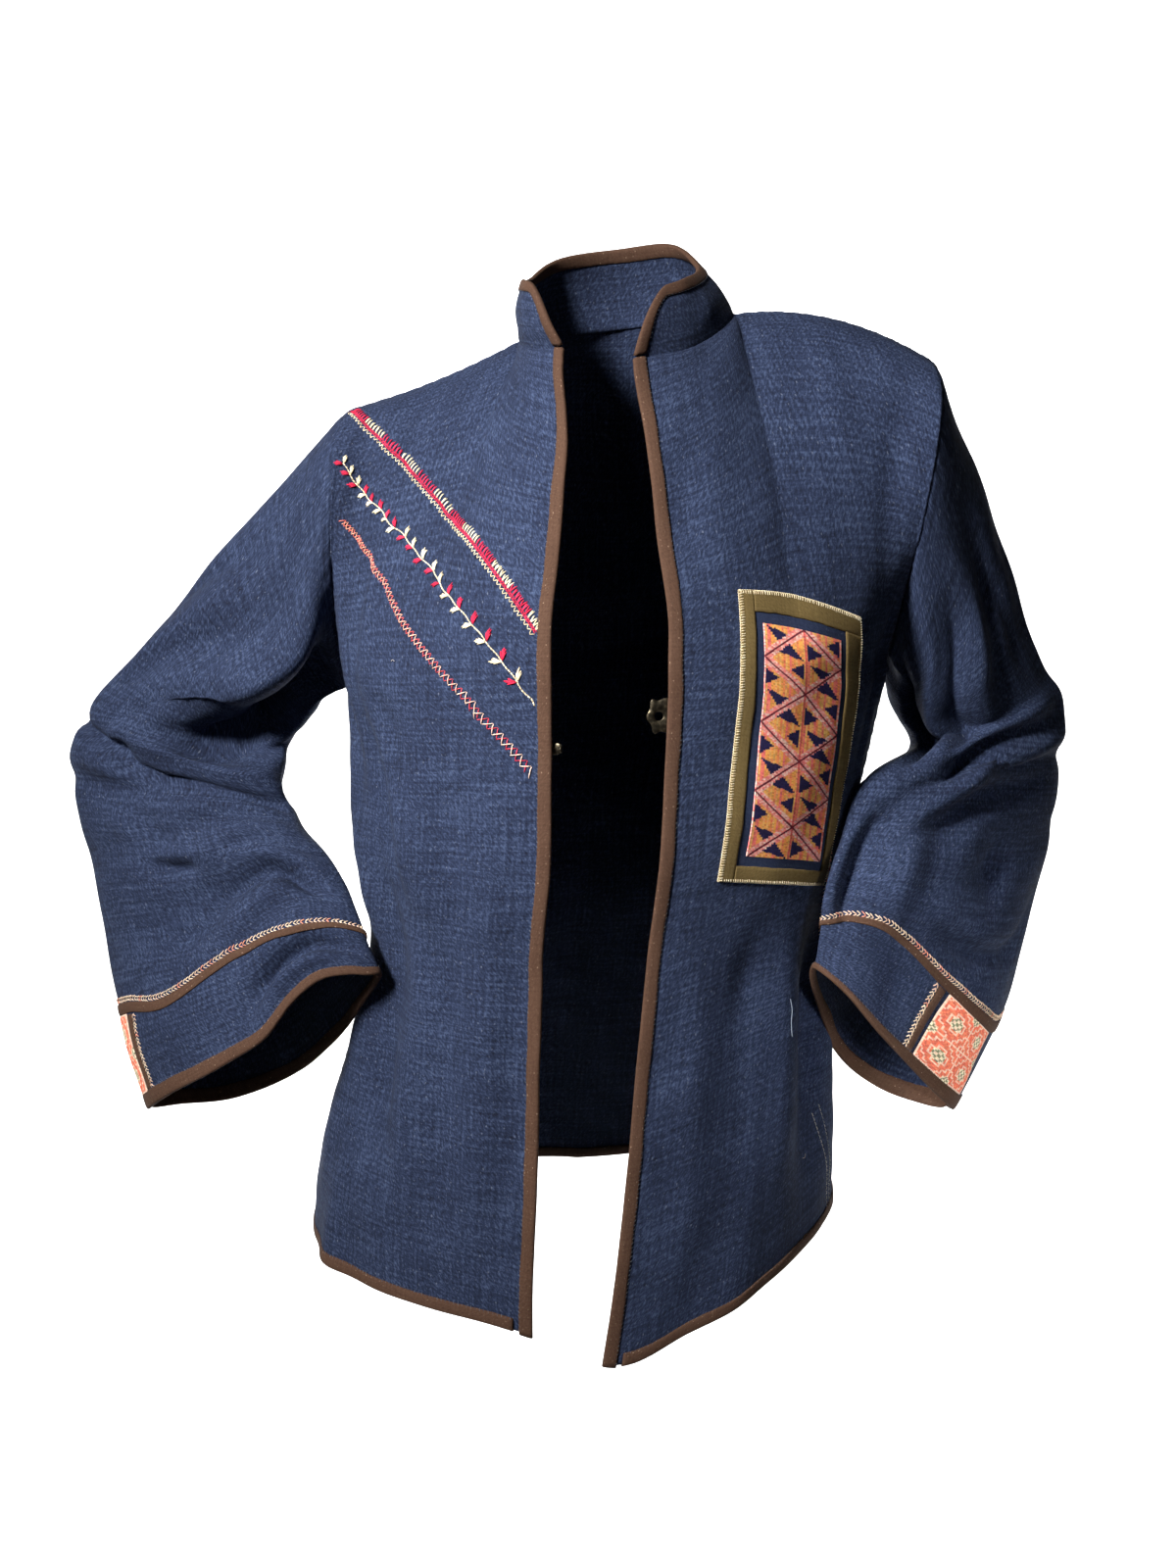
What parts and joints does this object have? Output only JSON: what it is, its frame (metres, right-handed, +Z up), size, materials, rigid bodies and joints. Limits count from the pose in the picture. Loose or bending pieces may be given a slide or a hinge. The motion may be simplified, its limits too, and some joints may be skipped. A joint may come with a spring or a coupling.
{
  "type": "open-front embroidered jacket in its worn pose",
  "caption": "Hollow worn jacket of indigo hemp: stand collar, open front, wide bent sleeves, brown bindings, embroidered panel and cuff patches.",
  "frame": {"origin": "middle of the neck hole, where the wearer's neck and shoulders carry the jacket", "axes": "front towards -Y, the wearer's left towards +X, +Z up along the body"},
  "size_m": [0.7621, 0.2837, 0.7466],
  "materials": {
    "indigo_hemp": "matt slubbed weave",
    "brown_binding": "matt plain weave",
    "coral_cross_stitch": "matt cross-stitch",
    "olive_border": "matt plain weave",
    "navy_border": "matt plain weave",
    "orange_field": "matt embroidery",
    "dark_metal": "dark antique"
  },
  "bodies": {
    "root": {"back": "indigo_hemp", "front_right": "indigo_hemp", "front_left": "indigo_hemp", "sleeve_right": "indigo_hemp", "sleeve_left": "indigo_hemp", "cuff_right": "indigo_hemp", "cuff_left": "indigo_hemp", "collar": "indigo_hemp", "collar_binding": "brown_binding", "front_binding_right": "brown_binding", "front_binding_left": "brown_binding", "hem_binding": "brown_binding", "cuff_binding_right": "brown_binding", "cuff_binding_left": "brown_binding", "cuff_band_right": "brown_binding", "cuff_band_left": "brown_binding", "cuff_strip_right": "brown_binding", "cuff_strip_left": "brown_binding", "cuff_patch_right": "coral_cross_stitch", "cuff_patch_left": "coral_cross_stitch", "panel_olive_border": "olive_border", "panel_navy_border": "navy_border", "panel_field": "orange_field", "clasp_eye": "dark_metal", "clasp_hook": "dark_metal"}
  },
  "joints": []
}
